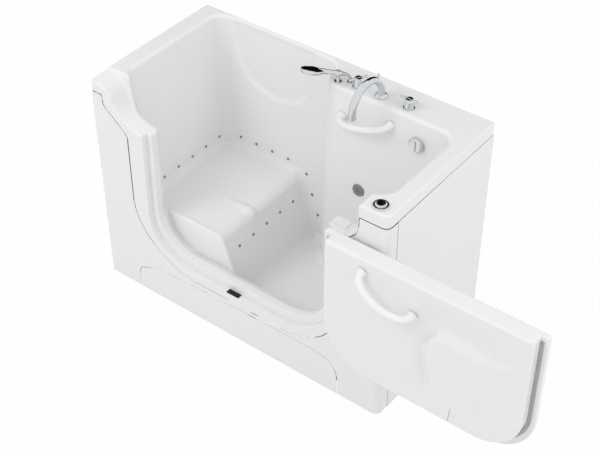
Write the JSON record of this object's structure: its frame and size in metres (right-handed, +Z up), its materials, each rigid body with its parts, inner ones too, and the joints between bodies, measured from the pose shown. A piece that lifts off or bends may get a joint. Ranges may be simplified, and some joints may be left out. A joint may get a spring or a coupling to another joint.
{
  "type": "air jetted walk-in bathtub",
  "caption": "Walk-in air bath with an outward swinging side door, moulded seat, air jets, deck taps, hand shower and grab bars, on a levelling frame behind white panels.",
  "frame": {"origin": "on the floor, under the pad of the middle levelling foot, at the middle of the tub body's length and depth", "axes": "+X along the tub's length to the foot end with the door hinge and taps, +Y to the wall behind the tub, +Z up; the door side faces -Y"},
  "size_m": [2.2346, 0.9371, 1.2295],
  "materials": {
    "white_acrylic": "gloss",
    "bar_coating": "satin",
    "stainless_steel": "brushed",
    "chrome_plate": "polished",
    "seal_rubber": "matte",
    "dark_plastic": "matte",
    "grey_plastic": "satin",
    "white_pipe": "satin",
    "copper_pipe": "satin",
    "motor_metal": "satin"
  },
  "bodies": {
    "tub": {"tub_shell": "white_acrylic", "front_panel": "white_acrylic", "head_end_panel": "white_acrylic", "base_frame": "stainless_steel", "levelling_feet": "stainless_steel", "threshold_plate": "chrome_plate", "hinge_cover": "white_acrylic", "hinge_leaf_fixed_upper": "stainless_steel", "hinge_leaf_fixed_lower": "stainless_steel", "hinge_pin_upper": "stainless_steel", "hinge_pin_lower": "stainless_steel", "wall_grab_bar": "bar_coating", "spout_base": "chrome_plate", "spout": "chrome_plate", "valve_body_left": "chrome_plate", "valve_body_right": "chrome_plate", "shower_cradle": "chrome_plate", "hose_ferrule": "chrome_plate", "overflow_plate": "chrome_plate", "wall_grille": "grey_plastic", "button_bezel": "chrome_plate", "drain_flange": "chrome_plate", "waste_pipe": "white_pipe", "supply_pipes": "copper_pipe", "air_jets": "grey_plastic", "air_manifold": "white_pipe", "air_hose": "grey_plastic", "blower_housing": "dark_plastic", "blower_motor": "motor_metal", "power_inlet": "dark_plastic"},
    "door": {"door_outer": "white_acrylic", "door_inner": "white_acrylic", "door_frame": "stainless_steel", "door_seal": "seal_rubber", "door_grab_bar": "bar_coating", "hinge_leaf_door_upper": "stainless_steel", "hinge_leaf_door_lower": "stainless_steel"},
    "front_access_panel": {"front_access_panel": "white_acrylic"},
    "foot_end_panel": {"foot_end_panel": "white_acrylic"},
    "diverter_knob": {"diverter_knob": "chrome_plate"},
    "valve_lever_left": {"valve_lever_left": "chrome_plate"},
    "valve_lever_right": {"valve_lever_right": "chrome_plate"},
    "overflow_knob": {"overflow_knob": "chrome_plate"},
    "deck_button": {"deck_button": "chrome_plate"},
    "drain_stopper": {"drain_stopper": "chrome_plate"},
    "blower_impeller": {"blower_impeller": "motor_metal"},
    "hand_shower": {"shower_handle": "chrome_plate", "shower_head": "chrome_plate", "spray_face": "dark_plastic", "shower_hose": "chrome_plate"}
  },
  "joints": [
    {"name": "door_hinge", "type": "hinge", "parent": "tub", "child": "door", "pos_m": [0.4953, -0.3873, 0.6], "axis": [0, 0, 1], "range_deg": [-180, 0]},
    {"name": "front_access_panel_pull", "type": "slide", "parent": "tub", "child": "front_access_panel", "axis": [0, -1, 0], "range_m": [0, 0.12]},
    {"name": "foot_end_panel_pull", "type": "slide", "parent": "tub", "child": "foot_end_panel", "axis": [1, 0, 0], "range_m": [0, 0.12]},
    {"name": "diverter_lift", "type": "slide", "parent": "tub", "child": "diverter_knob", "axis": [0, 0.6018, 0.7986], "range_m": [0, 0.005]},
    {"name": "left_tap_turn", "type": "hinge", "parent": "tub", "child": "valve_lever_left", "pos_m": [0.17526, 0.253, 1.132], "axis": [0, 0, 1], "range_deg": [0, 80]},
    {"name": "right_tap_turn", "type": "hinge", "parent": "tub", "child": "valve_lever_right", "pos_m": [0.42901, 0.253, 1.132], "axis": [0, 0, 1], "range_deg": [-90, 0]},
    {"name": "hand_shower_lift", "type": "slide", "parent": "tub", "child": "hand_shower", "axis": [0, 0, 1], "range_m": [0, 0.25]},
    {"name": "overflow_knob_turn", "type": "hinge", "parent": "tub", "child": "overflow_knob", "pos_m": [0.51435, 0.19673, 0.97843], "axis": [0, -0.9989, 0.0463], "range_deg": [0, 90]},
    {"name": "drain_stopper_lift", "type": "slide", "parent": "tub", "child": "drain_stopper", "axis": [0, 0, 1], "range_m": [0, 0.0105]},
    {"name": "deck_button_press", "type": "slide", "parent": "tub", "child": "deck_button", "axis": [0, 0, -1], "range_m": [0, 0.002], "stiffness_N_per_m": 600},
    {"name": "impeller_spin", "type": "hinge", "parent": "tub", "child": "blower_impeller", "pos_m": [-0.4572, -0.0381, 0.1], "axis": [0, 0, 1], "continuous": true}
  ],
  "couplings": [
    {"joint": "drain_stopper_lift", "follows": "overflow_knob_turn", "m_per_rad": 0.006366}
  ]
}
